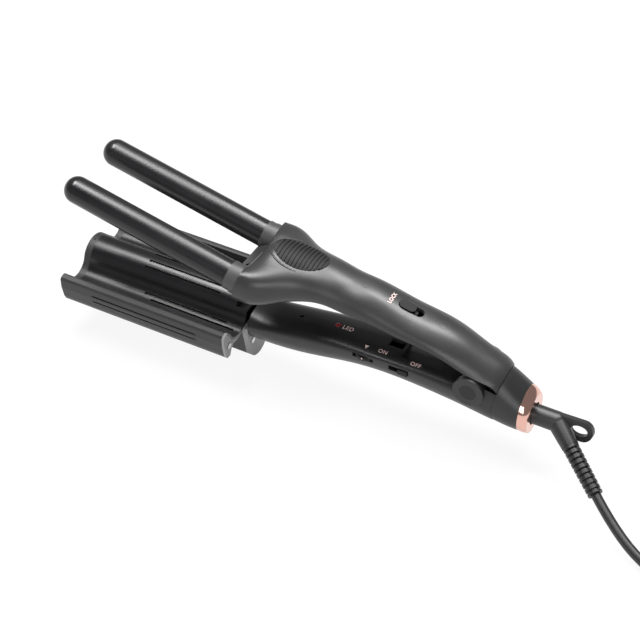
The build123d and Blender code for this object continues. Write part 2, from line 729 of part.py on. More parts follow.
with BuildPart() as lower_cover:
    add(lower_body.part)
    add(lower_cavity.part, mode=Mode.SUBTRACT)
    add(above_split.part, mode=Mode.SUBTRACT)
    add(cover_posts.part)
    with BuildSketch(jaw_plane(-24.0)):
        with Locations((0, -14.5)):
            Rectangle(12.0, 5.0)
    extrude(amount=24.0, mode=Mode.SUBTRACT)
    for x in COVER_SCREWS:
        with BuildSketch(top_plane(lower_height(x, 3) + WALL)):
            with Locations((x, 0)):
                Circle(SCREW_HEAD_RADIUS)
        extrude(amount=-WALL - 2, mode=Mode.SUBTRACT)
        with BuildSketch(top_plane(lower_height(x, 3))):
            with Locations((x, 0)):
                Circle(SCREW_SHANK)
        extrude(amount=20, mode=Mode.SUBTRACT)
save(lower_cover, "lower_cover")

with BuildPart() as handle_screws:
    for x in COVER_SCREWS:
        seat = lower_height(x, 3) + WALL
        with BuildSketch(top_plane(seat)):
            with Locations((x, 0)):
                Circle(SCREW_HEAD_RADIUS)
        extrude(amount=-SCREW_HEAD)
        with BuildSketch(top_plane(seat)):
            with Locations((x, 0)):
                Circle(SCREW_SHANK)
        extrude(amount=POST_TOP + 5.0 - seat)
save(handle_screws, "handle_screws")

with BuildPart() as control_board:
    with BuildSketch(top_plane(BOARD_TOP)):
        with Locations((BOARD_FRONT - BOARD_LENGTH / 2, 0)):
            Rectangle(BOARD_LENGTH, BOARD_WIDTH)
    extrude(amount=-BOARD_THICKNESS)
save(control_board, "control_board")

wheel_y = lower_height(WHEEL_X, 1) + WHEEL_PROUD - WHEEL_RADIUS
pot_top = SWITCH_RISE - WHEEL_THICKNESS / 2 - SHELL_GAP

with BuildPart() as potentiometer:
    with BuildSketch(top_plane(BOARD_TOP)):
        with Locations((WHEEL_X, wheel_y - 3.0)):
            Rectangle(9.0, 9.0)
    extrude(amount=pot_top - BOARD_TOP)
    with BuildSketch(top_plane(pot_top)):
        with Locations((WHEEL_X, wheel_y)):
            Circle(POT_SHAFT)
    extrude(amount=WHEEL_THICKNESS + SHELL_GAP)
save(potentiometer, "potentiometer")

with BuildPart() as temperature_wheel:
    with BuildSketch(top_plane(SWITCH_RISE - WHEEL_THICKNESS / 2)):
        with Locations((WHEEL_X, wheel_y)):
            Circle(WHEEL_RADIUS)
            Circle(POT_SHAFT + PIN_FIT, mode=Mode.SUBTRACT)
        with Locations((WHEEL_X, wheel_y)):
            with PolarLocations(WHEEL_RADIUS + 0.1, 24):
                Circle(0.5, mode=Mode.SUBTRACT)
    extrude(amount=WHEEL_THICKNESS)
save(temperature_wheel, "temperature_wheel")

switch_rest = SWITCH_X - SWITCH_TRAVEL / 2

with BuildPart() as switch_body:
    with BuildSketch(top_plane(BOARD_TOP)):
        with Locations((SWITCH_X, 5.4)):
            Rectangle(15.0, 7.4)
    extrude(amount=5.0)
    with BuildSketch(top_plane(-1.7)):
        with Locations((SWITCH_X, 8.2)):
            Rectangle(SWITCH_TRAVEL + 3.2, 2.4)
    extrude(amount=2.2, mode=Mode.SUBTRACT)
save(switch_body, "switch_body")

with BuildPart() as power_switch_knob:
    with BuildSketch(top_plane(SWITCH_RISE - SWITCH_HEIGHT / 2 + SWITCH_GAP)):
        with Locations((switch_rest, (SWITCH_PLATE[0] + SWITCH_FACE) / 2)):
            Rectangle(SWITCH_KNOB, SWITCH_FACE - SWITCH_PLATE[0])
    extrude(amount=SWITCH_HEIGHT - 2 * SWITCH_GAP)
    with BuildSketch(top_plane(-1.4)):
        with Locations((switch_rest, sum(SWITCH_PLATE) / 2)):
            Rectangle(SWITCH_KNOB, SWITCH_PLATE[1] - SWITCH_PLATE[0])
    extrude(amount=3.0)
    with BuildSketch(top_plane(-1.4)):
        with Locations((switch_rest, 9.0)):
            Rectangle(2.6, 3.0)
    extrude(amount=1.4)
save(power_switch_knob, "power_switch_knob")

led_top = lower_height(LED_X, 4)

with BuildPart() as led_lens:
    with BuildSketch(top_plane(led_top - WALL - 1.2)):
        with Locations((LED_X, 0)):
            Circle(LED_RADIUS + 0.6)
    extrude(amount=1.0)
    with BuildSketch(top_plane(led_top - WALL - 0.2)):
        with Locations((LED_X, 0)):
            Circle(LED_RADIUS)
    extrude(amount=WALL)
    with Locations((JAW_REAR_X + LED_X, 0, RIM_Z + led_top - 0.2)):
        Sphere(LED_RADIUS, arc_size1=0)
save(led_lens, "led_lens")

# Hinge
with BuildPart() as hinge_pin:
    with BuildSketch(side_plane(PIN_HEAD)):
        with Locations((-PIVOT_BACK, PIVOT_RISE)):
            Circle(PIN_RADIUS)
    extrude(amount=2 * PIN_HEAD)
save(hinge_pin, "hinge_pin")

with BuildPart() as hinge_caps:
    for side in (1, -1):
        with BuildSketch(side_plane(side * BOSS_FACE)):
            with Locations((-PIVOT_BACK, PIVOT_RISE)):
                Circle(PIN_CAP_RADIUS)
        extrude(amount=side * (BOSS_FACE - PIN_HEAD))
save(hinge_caps, "hinge_caps")

with BuildPart() as hinge_spring:
    with BuildSketch(side_plane(SPRING_HALF)):
        with Locations((-PIVOT_BACK, PIVOT_RISE)):
            Circle(SPRING_RADIUS)
            Circle(PIN_RADIUS, mode=Mode.SUBTRACT)
    extrude(amount=2 * SPRING_HALF)
save(hinge_spring, "hinge_spring")

# Tail cover, ring and socket
tail_sections = [tail_section(station, 0.0) for station in TAIL_STATIONS]
tail_hollows = [tail_section(station, WALL) for station in TAIL_STATIONS[:4]]
flange_rear = FLANGE_FRONT - FLANGE_THICKNESS - STEM_FIT

with BuildPart() as tail_hollow:
    loft(tail_hollows)
    with BuildSketch(side_plane(30)):
        with Locations((flange_rear - 10, 0)):
            Rectangle(20, 80)
    extrude(amount=60, mode=Mode.SUBTRACT)

with BuildPart() as tail_cover:
    loft(tail_sections)
    with BuildSketch(side_plane(30)):
        with BuildLine():
            start = ARM_STATIONS[0][0] - SHELL_GAP
            foot = (SHELL_END + PIVOT_BACK - start * ALONG.X) / ARM_UP.X
            lower, upper = [
                (
                    start * ALONG.X + w * ARM_UP.X - PIVOT_BACK,
                    start * ALONG.Z + w * ARM_UP.Z + PIVOT_RISE,
                )
                for w in (foot, 32.0)
            ]
            Polyline((SHELL_END, -40), lower, upper, (-130, upper[1]), (-130, -40), (SHELL_END, -40))
        make_face()
    extrude(amount=60, mode=Mode.SUBTRACT)
    add(tail_hollow.part, mode=Mode.SUBTRACT)
    with BuildSketch(jaw_plane(RING_FRONT)):
        with Locations((0, AXIS_RISE)):
            Circle(SOCKET_RADIUS)
    extrude(amount=flange_rear - RING_FRONT, mode=Mode.SUBTRACT)
save(tail_cover, "tail_cover")

with BuildPart() as swivel_socket:
    with BuildSketch(jaw_plane(RING_FRONT)):
        with Locations((0, AXIS_RISE)):
            Circle(SOCKET_RADIUS)
            Circle(STEM_RADIUS + STEM_FIT, mode=Mode.SUBTRACT)
    extrude(amount=flange_rear - RING_FRONT)
save(swivel_socket, "swivel_socket")

ring_sections = []
for place, height, radius in RING_STATIONS:
    with BuildSketch(jaw_plane(place)) as ring_section:
        with Locations((0, height)):
            Circle(radius)
    ring_sections.append(ring_section.sketch)

with BuildPart() as tail_ring:
    loft(ring_sections)
    with BuildSketch(jaw_plane(-HANDLE_LENGTH)):
        with Locations((0, AXIS_RISE)):
            Circle(RING_BORE)
    extrude(amount=HANDLE_LENGTH + RING_FRONT, mode=Mode.SUBTRACT)
save(tail_ring, "tail_ring")

# Upper arm: shell, head and cover
arm_sections = [arm_section(station, 0.0) for station in ARM_STATIONS]
hollow_sections = [arm_section(station, WALL) for station in SHELL_STATIONS]
channel_sections = [
    channel_section(place, station)
    for place, station in zip((2.0, -14.0, -35.0, -54.0), LOWER_STATIONS)
]
cover_edge = [(place, half[0][1]) for place, half in SHELL_STATIONS]
pad_turn = math.radians(OPEN_ANGLE - PAD_SLOPE)
pad_along = Vector(math.cos(pad_turn), 0, math.sin(pad_turn))
pad_up = Vector(-math.sin(pad_turn), 0, math.cos(pad_turn))
pad_crown = PIVOT + ALONG * PAD_CENTRE + ARM_UP * PAD_RISE
pad_axis = pad_crown - pad_up * PAD_CROWN_RADIUS
arm_seats = [arm_edge_height(place) + WALL / 2 for place in ARM_SCREWS]


def pad_plane(distance):
    """Cross-section plane of the pad's crowned top at a distance along it from its middle."""
    return Plane(origin=pad_axis + pad_along * distance, x_dir=(0, 1, 0), z_dir=pad_along)


with BuildPart() as arm_body:
    loft(arm_sections)

with BuildPart() as arm_cavity:
    loft(hollow_sections)

with BuildPart() as neck_channel:
    loft(channel_sections)

with BuildPart() as pad_prism:
    with BuildSketch(Plane(origin=pad_crown + pad_up * 3, x_dir=pad_along, z_dir=pad_up)):
        Ellipse(PAD_LENGTH / 2, PAD_WIDTH / 2)
    extrude(amount=-9)

with BuildPart() as pad_pocket:
    add(pad_prism.part)
    with BuildSketch(pad_plane(-PAD_LENGTH)):
        Circle(PAD_CROWN_RADIUS - PAD_DEPTH)
    extrude(amount=2 * PAD_LENGTH, mode=Mode.SUBTRACT)

with BuildPart() as arm_webs:
    for side in (1, -1):
        with BuildSketch(arm_side(side * 10.0)):
            with Locations((0, 15)):
                Rectangle(10, 12)
        extrude(amount=side * 5.0)
    add(arm_body.part, mode=Mode.INTERSECT)

with BuildPart() as arm_hubs:
    for side in (1, -1):
        with BuildSketch(arm_side(side * HUB_FACE)):
            Circle(HUB_RADIUS)
        extrude(amount=side * (HUB_FACE - HUB_INSIDE))
        with BuildSketch(arm_side(side * 10.0)):
            with Locations((0, 5.5)):
                Rectangle(10, 11)
        extrude(amount=side * 5.0)
    with BuildSketch(arm_side(HUB_FACE)):
        Circle(PIN_RADIUS + PIN_FIT)
    extrude(amount=2 * HUB_FACE, mode=Mode.SUBTRACT)

with BuildPart() as cover_band:
    with BuildSketch(arm_side(30)):
        with BuildLine():
            Spline(*[(u, w + WALL) for u, w in cover_edge[1:]])
            Polyline((cover_edge[1][0], cover_edge[1][1] + WALL), (cover_edge[1][0], -20))
            Polyline((cover_edge[1][0], -20), (cover_edge[-1][0], -20))
            Polyline((cover_edge[-1][0], -20), (cover_edge[-1][0], cover_edge[-1][1] + WALL))
        make_face()
    extrude(amount=60)

with BuildPart() as arm_posts:
    for place in ARM_SCREWS:
        with BuildSketch(arm_top(0)):
            with Locations((place, 0)):
                Circle(POST_RADIUS)
                Circle(SCREW_SHANK, mode=Mode.SUBTRACT)
        extrude(amount=25)
    add(arm_body.part, mode=Mode.INTERSECT)
    add(cover_band.part, mode=Mode.SUBTRACT)

with BuildPart() as upper_shell:
    add(arm_body.part)
    add(arm_cavity.part, mode=Mode.SUBTRACT)
    add(neck_channel.part, mode=Mode.SUBTRACT)
    with BuildSketch(arm_side(NOSE_HALF)):
        with BuildLine():
            slope = HEAD_FRONT - 1.0
            Polyline(
                (slope, 2.2),
                (HEAD_FRONT, 1.2),
                (NOSE_FRONT, NOSE_TOP),
                (NOSE_FRONT, NOSE_BOTTOM),
                (HEAD_FRONT, NOSE_BOTTOM),
                (HEAD_FRONT, NOSE_TOP),
                (slope, NOSE_TOP),
                close=True,
            )
        make_face()
    extrude(amount=2 * NOSE_HALF)
    for side in (1, -1):
        with BuildSketch(arm_plane(BARREL_START)):
            with Locations((side * TROUGH_Y, BARREL_DROP)):
                Circle(BARREL_RADIUS)
        extrude(amount=NOSE_FRONT - BARREL_START, mode=Mode.SUBTRACT)
    with BuildSketch(arm_top(LOCK_FLANGE_TOP - 1)):
        with Locations((LOCK_SLOT_FRONT - LOCK_SLOT_LENGTH / 2, 0)):
            RectangleRounded(LOCK_SLOT_LENGTH, LOCK_SLOT_WIDTH, LOCK_SLOT_WIDTH / 2 - 0.2)
    extrude(amount=10, mode=Mode.SUBTRACT)
    add(pad_pocket.part, mode=Mode.SUBTRACT)
    add(arm_webs.part)
    add(arm_hubs.part)
    add(arm_posts.part)
save(upper_shell, "upper_shell")

with BuildPart() as upper_cover:
    add(arm_cavity.part)
    add(arm_body.part, mode=Mode.INTERSECT)
    add(cover_band.part, mode=Mode.INTERSECT)
    with BuildSketch(arm_top(0)):
        with Locations((HOOK_FRONT - (HOOK_DEPTH + LOCK_TRAVEL) / 2, 0)):
            Rectangle(HOOK_DEPTH + LOCK_TRAVEL + 1.0, HOOK_WIDTH + 1.0)
        with Locations(*[(place, 0) for place in ARM_SCREWS]):
            Circle(SCREW_SHANK)
    extrude(amount=25, mode=Mode.SUBTRACT)
    for place, seat in zip(ARM_SCREWS, arm_seats):
        with BuildSketch(arm_top(seat)):
            with Locations((place, 0)):
                Circle(SCREW_HEAD_RADIUS)
        extrude(amount=-6, mode=Mode.SUBTRACT)
save(upper_cover, "upper_cover")

with BuildPart() as arm_screws:
    for place, seat in zip(ARM_SCREWS, arm_seats):
        with BuildSketch(arm_top(seat)):
            with Locations((place, 0)):
                Circle(SCREW_HEAD_RADIUS)
        extrude(amount=-ARM_SCREW_HEAD)
        with BuildSketch(arm_top(seat)):
            with Locations((place, 0)):
                Circle(SCREW_SHANK)
        extrude(amount=5)
save(arm_screws, "arm_screws")

# Thumb pad
with BuildPart() as thumb_pad:
    with BuildSketch(pad_plane(-PAD_LENGTH / 2)):
        Circle(PAD_CROWN_RADIUS)
        Circle(PAD_CROWN_RADIUS - PAD_DEPTH, mode=Mode.SUBTRACT)
    extrude(amount=PAD_LENGTH)
    for number in range(PAD_RIBS):
        with BuildSketch(pad_plane((number - (PAD_RIBS - 1) / 2) * PAD_RIB_PITCH - PAD_RIB / 2)):
            Circle(PAD_CROWN_RADIUS + PAD_RIB_PROUD)
            Circle(PAD_CROWN_RADIUS - PAD_DEPTH, mode=Mode.SUBTRACT)
        extrude(amount=PAD_RIB)
    add(pad_prism.part, mode=Mode.INTERSECT)
save(thumb_pad, "thumb_pad")

# Lock button with its hook, resting unlocked at the front of its slot
with BuildPart() as lock_button:
    with BuildSketch(arm_top(LOCK_FLANGE_TOP)):
        with Locations((LOCK_SLOT_FRONT - LOCK_GAP - LOCK_BUTTON_LENGTH / 2, 0)):
            RectangleRounded(LOCK_BUTTON_LENGTH, LOCK_SLOT_WIDTH - 2 * LOCK_GAP, LOCK_SLOT_WIDTH / 2 - 0.5)
    extrude(amount=LOCK_TOP - LOCK_FLANGE_TOP)
    with BuildSketch(arm_top(LOCK_FLANGE_TOP)):
        with Locations((LOCK_SLOT_FRONT - LOCK_GAP - LOCK_BUTTON_LENGTH / 2, 0)):
            Rectangle(LOCK_BUTTON_LENGTH + 3.0, LOCK_SLOT_WIDTH + 2.5)
    extrude(amount=-LOCK_FLANGE)
save(lock_button, "lock_button")

with BuildPart() as latch_hook:
    with BuildSketch(arm_side(HOOK_WIDTH / 2)):
        with BuildLine():
            root = LOCK_FLANGE_TOP - LOCK_FLANGE
            back = HOOK_FRONT - HOOK_DEPTH
            shelf = HOOK_BOTTOM + HOOK_TOE_THICKNESS
            Polyline(
                (back, root),
                (HOOK_FRONT, root),
                (HOOK_FRONT, HOOK_BOTTOM + 0.6),
                (HOOK_FRONT - 0.6, HOOK_BOTTOM),
                (back - HOOK_TOE, HOOK_BOTTOM),
                (back - HOOK_TOE, shelf),
                (back, shelf),
                close=True,
            )
        make_face()
    extrude(amount=HOOK_WIDTH)
save(latch_hook, "latch_hook")

# Barrels, tips, collars and heater rods
rod_side = math.sqrt(2) * (BARREL_RADIUS - BARREL_WALL)

for side, hand in ((1, "left"), (-1, "right")):
    centre = (side * TROUGH_Y, BARREL_DROP)
    with BuildPart() as barrel:
        with BuildSketch(arm_plane(BARREL_START)):
            with Locations(centre):
                Circle(BARREL_RADIUS)
                Circle(BARREL_RADIUS - BARREL_WALL, mode=Mode.SUBTRACT)
        extrude(amount=BARREL_END - BARREL_START)
    save(barrel, f"barrel_{hand}")

    with BuildPart() as barrel_tip:
        with BuildSketch(arm_side(side * TROUGH_Y)):
            with BuildLine():
                EllipticalCenterArc((BARREL_END, BARREL_DROP), TIP_LENGTH, BARREL_RADIUS, arc_size=90)
                inner = BARREL_DROP + BARREL_RADIUS - BARREL_WALL
                Polyline(
                    (BARREL_END, BARREL_DROP + BARREL_RADIUS),
                    (BARREL_END, inner),
                    (BARREL_END - TIP_PLUG, inner),
                    (BARREL_END - TIP_PLUG, BARREL_DROP),
                    (BARREL_END + TIP_LENGTH, BARREL_DROP),
                )
            make_face()
        barrel_axis = PIVOT + ARM_UP * BARREL_DROP + Vector(0, side * TROUGH_Y, 0)
        revolve(axis=Axis(barrel_axis, ALONG))
    save(barrel_tip, f"barrel_tip_{hand}")

    with BuildPart() as collar:
        for start, end, radius in (
            (HEAD_FRONT, COLLAR_STEP, COLLAR_RADIUS),
            (COLLAR_STEP, COLLAR_END, COLLAR_STEP_RADIUS),
        ):
            with BuildSketch(arm_plane(start)):
                with Locations(centre):
                    Circle(radius)
                    Circle(BARREL_RADIUS, mode=Mode.SUBTRACT)
            extrude(amount=end - start)
    save(collar, f"collar_{hand}")

    with BuildPart() as heater_rod:
        with BuildSketch(arm_plane(HEATER_ROD_START)):
            with Locations(centre):
                Rectangle(rod_side, rod_side)
        extrude(amount=HEATER_ROD_LENGTH)
    save(heater_rod, f"heater_rod_{hand}")

# Swivel: stem with its elbow and hanging loop, slip rings and strain relief
with BuildPart() as swivel_stem:
    with BuildSketch(jaw_plane(STEM_CORNER)):
        with Locations((0, AXIS_RISE)):
            Circle(STEM_RADIUS)
    extrude(amount=FLANGE_FRONT - STEM_CORNER)
    with BuildSketch(jaw_plane(FLANGE_FRONT)):
        with Locations((0, AXIS_RISE)):
            Circle(FLANGE_RADIUS)
    extrude(amount=-FLANGE_THICKNESS)
    with BuildSketch(jaw_plane(FLANGE_FRONT)):
        with Locations((0, AXIS_RISE)):
            Circle(SLIP_CORE_RADIUS)
    extrude(amount=SLIP_CORE_LENGTH)
    with Locations(axis_point(STEM_CORNER)):
        Sphere(STEM_RADIUS)
    with BuildSketch(lead_plane(0)):
        Circle(STEM_RADIUS - 0.2)
    with BuildSketch(lead_plane(ELBOW_LENGTH)):
        Circle(ELBOW_END_RADIUS)
    loft()
    loop_centre = Plane(origin=axis_point(STEM_CORNER), x_dir=(-1, 0, 0), z_dir=LOOP_NORMAL)
    with BuildSketch(loop_centre):
        Circle(LOOP_ROOT_RADIUS)
        with Locations((LOOP_REACH, 0)):
            Circle(LOOP_RADIUS)
        make_hull()
        with Locations((LOOP_HOLE_REACH, 0)):
            Ellipse(*LOOP_HOLE, mode=Mode.SUBTRACT)
    extrude(amount=LOOP_THICKNESS / 2, both=True)
save(swivel_stem, "swivel_stem")

for start, name in ((FLANGE_FRONT + 1.0, "slip_ring_rear"), (FLANGE_FRONT + 3.6, "slip_ring_front")):
    with BuildPart() as slip_ring:
        with BuildSketch(jaw_plane(start)):
            with Locations((0, AXIS_RISE)):
                Circle(SLIP_RING_RADIUS)
                Circle(SLIP_CORE_RADIUS, mode=Mode.SUBTRACT)
        extrude(amount=1.6)
    save(slip_ring, name)

with BuildPart() as strain_relief:
    with BuildSketch(lead_plane(ELBOW_LENGTH)):
        Circle(RELIEF_RADIUS)
    with BuildSketch(lead_plane(ELBOW_LENGTH + RELIEF_LENGTH)):
        Circle(RELIEF_END_RADIUS)
    loft()
    for number in range(RELIEF_RIBS):
        place = ELBOW_LENGTH + (number + 0.6) * RELIEF_LENGTH / (RELIEF_RIBS + 0.4)
        with BuildSketch(lead_plane(place)):
            Circle(RELIEF_RADIUS + 1)
            Circle(RELIEF_END_RADIUS - RELIEF_GROOVE, mode=Mode.SUBTRACT)
        extrude(amount=RELIEF_GROOVE * 1.8, mode=Mode.SUBTRACT)
save(strain_relief, "strain_relief")

# Lead: from the strain relief to the coil, the coil of the rest with its ties, and its end with the plug
coil_spread = LEAD_RADIUS * COIL_TURNS
coil_outer = COIL_RADIUS + coil_spread / 2
coil_inner = COIL_RADIUS - coil_spread / 2
coil_floor = TIE_THICKNESS - RIM_Z
coil_height = 2 * LEAD_RADIUS * COIL_LAYERS
low_turn = coil_floor + LEAD_RADIUS
high_turn = coil_floor + coil_height - LEAD_RADIUS


def lead_tube(points, name):
    """A round lead along straight runs joined by the widest arcs that the runs allow."""
    corners = [Vector(*point) + Vector(JAW_REAR_X, 0, RIM_Z) for point in points]
    runs = [b - a for a, b in zip(corners, corners[1:])]
    radii = []
    for before, after in zip(runs, runs[1:]):
        turn = math.radians(before.get_angle(after))
        radii.append(0.45 * min(before.length, after.length) / math.tan(turn / 2))
    print(name, "radii", [round(radius, 1) for radius in radii])
    with BuildPart() as tube:
        with BuildLine() as route:
            FilletPolyline(*corners, radius=radii)
        with BuildSketch(Plane(origin=corners[0], z_dir=runs[0])):
            Circle(LEAD_RADIUS)
        sweep()
    length = sum(edge.length for edge in route.edges())
    expected = math.pi * LEAD_RADIUS**2 * length
    print(name, "length", round(length, 1), "volume share", round(tube.part.volume / expected, 4))
    save(tube, name)


relief_end = Vector(STEM_CORNER, 0, AXIS_RISE) + LEAD_DIRECTION * (ELBOW_LENGTH + RELIEF_LENGTH)
first_bend = relief_end + LEAD_DIRECTION * 20.0
entry_y = COIL_Y + coil_outer
exit_y = COIL_Y - coil_outer
stub_x = COIL_X + COIL_STUB
plug_rise = PLUG_HEIGHT / 2 - RIM_Z

lead_tube(
    [
        (relief_end.X, relief_end.Y, relief_end.Z),
        (first_bend.X, first_bend.Y, first_bend.Z),
        (-259.0, 52.3, -32.9),
        (-284.0, 57.0, low_turn),
        (-307.0, entry_y, low_turn),
        (stub_x, entry_y, low_turn),
    ],
    "mains_lead",
)
plug_back = stub_x + 33.0
lead_tube(
    [
        (stub_x, exit_y, high_turn),
        (stub_x + 11.0, exit_y, high_turn),
        (stub_x + 22.0, exit_y - 1.0, plug_rise),
        (plug_back, exit_y - 1.0, plug_rise),
    ],
    "plug_lead",
)

with BuildPart() as lead_coil:
    with BuildSketch(top_plane(coil_floor)):
        with Locations((COIL_X, COIL_Y)):
            Circle(coil_outer + LEAD_RADIUS)
            Circle(coil_inner - LEAD_RADIUS, mode=Mode.SUBTRACT)
    extrude(amount=coil_height)
    for y, z in ((entry_y, low_turn), (exit_y, high_turn)):
        with BuildSketch(jaw_plane(COIL_X)):
            with Locations((y, z)):
                Circle(LEAD_RADIUS - 0.1)
        extrude(amount=COIL_STUB)
save(lead_coil, "lead_coil")

with BuildPart() as coil_ties:
    for side in (1, -1):
        with BuildSketch(side_plane(COIL_Y + TIE_WIDTH / 2)):
            with Locations((COIL_X + side * COIL_RADIUS, coil_floor + coil_height / 2)):
                width = coil_spread + 2 * LEAD_RADIUS
                Rectangle(width + 4 * TIE_THICKNESS, coil_height + 2 * TIE_THICKNESS)
                Rectangle(width + 2 * TIE_THICKNESS, coil_height, mode=Mode.SUBTRACT)
        extrude(amount=TIE_WIDTH)
save(coil_ties, "coil_ties")

sleeve_end = plug_back + PLUG_SLEEVE_LENGTH

with BuildPart() as plug_body:
    with BuildSketch(jaw_plane(plug_back)):
        with Locations((exit_y - 1.0, plug_rise)):
            Circle(PLUG_SLEEVE_RADIUS)
    extrude(amount=PLUG_SLEEVE_LENGTH)
    with BuildSketch(jaw_plane(sleeve_end)):
        with Locations((exit_y - 1.0, plug_rise)):
            RectangleRounded(PLUG_WIDTH - 10, PLUG_HEIGHT - 2, 4)
    with BuildSketch(jaw_plane(sleeve_end + PLUG_LENGTH / 2)):
        with Locations((exit_y - 1.0, plug_rise)):
            RectangleRounded(PLUG_WIDTH, PLUG_HEIGHT, 4)
    with BuildSketch(jaw_plane(sleeve_end + PLUG_LENGTH)):
        with Locations((exit_y - 1.0, plug_rise)):
            RectangleRounded(PLUG_WIDTH - 4, PLUG_HEIGHT - 1, 4)
    loft()
save(plug_body, "plug_body")

with BuildPart() as plug_pins:
    for side in (1, -1):
        with BuildSketch(jaw_plane(sleeve_end + PLUG_LENGTH)):
            with Locations((exit_y - 1.0 + side * PIN_SPACING / 2, plug_rise)):
                Circle(PLUG_PIN_RADIUS)
        extrude(amount=PLUG_PIN_LENGTH)
save(plug_pins, "plug_pins")
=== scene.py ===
"""Hair waver: finishes, mains lead, printing and small trim on the CAD frame.

Lengths are written in millimetres and turned into metres where a mesh is made.
"""

import logging
import math
from dataclasses import dataclass, field
from enum import Enum

import bmesh
import bpy
from mathutils import Matrix, Vector
from mathutils.bvhtree import BVHTree


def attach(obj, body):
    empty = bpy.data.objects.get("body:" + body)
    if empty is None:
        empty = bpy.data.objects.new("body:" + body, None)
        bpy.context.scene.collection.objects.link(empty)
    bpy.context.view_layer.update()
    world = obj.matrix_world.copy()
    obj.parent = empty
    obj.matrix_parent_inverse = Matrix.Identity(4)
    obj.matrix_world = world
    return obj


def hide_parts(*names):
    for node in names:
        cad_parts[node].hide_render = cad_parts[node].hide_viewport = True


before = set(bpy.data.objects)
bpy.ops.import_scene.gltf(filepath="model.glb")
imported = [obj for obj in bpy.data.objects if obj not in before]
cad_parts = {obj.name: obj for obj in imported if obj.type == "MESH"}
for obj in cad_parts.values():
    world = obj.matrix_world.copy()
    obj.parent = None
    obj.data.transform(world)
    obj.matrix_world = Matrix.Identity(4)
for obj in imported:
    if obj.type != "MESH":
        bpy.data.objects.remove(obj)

log = logging.getLogger("hair_waver")

MM = 0.001
JAW_REAR_X = 48.75
RIM_Z = 37.7
OPEN_ANGLE = math.radians(12.9)
PIVOT = Vector((JAW_REAR_X - 140.0, 0.0, RIM_Z + 6.0))
ALONG = Vector((math.cos(OPEN_ANGLE), 0.0, math.sin(OPEN_ANGLE)))
ARM_UP = Vector((-math.sin(OPEN_ANGLE), 0.0, math.cos(OPEN_ANGLE)))
FORWARD = Vector((1.0, 0.0, 0.0))
NOISE_LOW = 0.3
NOISE_HIGH = 0.7
PRINT_LIFT = 0.07


class Body(Enum):
    """The moving bodies that a piece can ride on."""

    HANDLE = "jaw_and_handle"
    ARM = "upper_arm"
    LOCK = "lock"
    SWITCH = "power_switch"
    WHEEL = "temperature_wheel"
    SWIVEL = "cord_swivel"


class Slot(Enum):
    """The record's material slots."""

    SHELL = "graphite_plastic"
    COATING = "plate_coating"
    GREY = "grey_plastic"
    BLACK = "black_plastic"
    GRIP = "grip_rubber"
    CORD = "cord_rubber"
    ROSE = "rose_gold"
    LENS = "red_lens"
    STEEL = "steel"
    ALUMINIUM = "aluminium"
    BOARD = "board"
    BRASS = "brass"


def jaw_point(x: float, y: float, z: float) -> Vector:
    """A point from the jaw's rear end and its rim, in millimetres of the frame.

    Args:
        x: Distance forward from the jaw's rear end.
        y: Distance to the left.
        z: Height above the rim.

    Returns:
        The point in the frame, in millimetres.
    """
    return Vector((JAW_REAR_X + x, y, RIM_Z + z))


def arm_point(u: float, y: float, w: float) -> Vector:
    """A point on the upper arm, in millimetres of the frame.

    Args:
        u: Distance along the arm from the hinge.
        y: Distance to the left.
        w: Height above the arm's line.

    Returns:
        The point in the frame, in millimetres.
    """
    return PIVOT + ALONG * u + ARM_UP * w + Vector((0.0, y, 0.0))


def link_new(name: str, data: bpy.types.ID) -> bpy.types.Object:
    """Make an object of its data and link it to the scene.

    Args:
        name: The object's name.
        data: Its mesh, curve, lamp or camera.

    Returns:
        The object.
    """
    made = bpy.data.objects.new(name, data)
    bpy.context.scene.collection.objects.link(made)
    return made


def node_tree_of(node: str) -> BVHTree:
    """The faces of a CAD node, ready for ray casts.

    Args:
        node: The node's name.

    Returns:
        Its faces in a search tree.
    """
    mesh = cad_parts[node].data
    corners = [corner.co for corner in mesh.vertices]
    return BVHTree.FromPolygons(corners, [face.vertices for face in mesh.polygons])


def facing_waver(place: Vector) -> Matrix:
    """The placement of a flat thing that faces the waver, with its length along it.

    Args:
        place: Its place, in metres.

    Returns:
        Its matrix.
    """
    back = place.normalized()
    across = back.cross(FORWARD).normalized()
    axes = Matrix((across.cross(back), across, back)).transposed()
    return Matrix.Translation(place) @ axes.to_4x4()


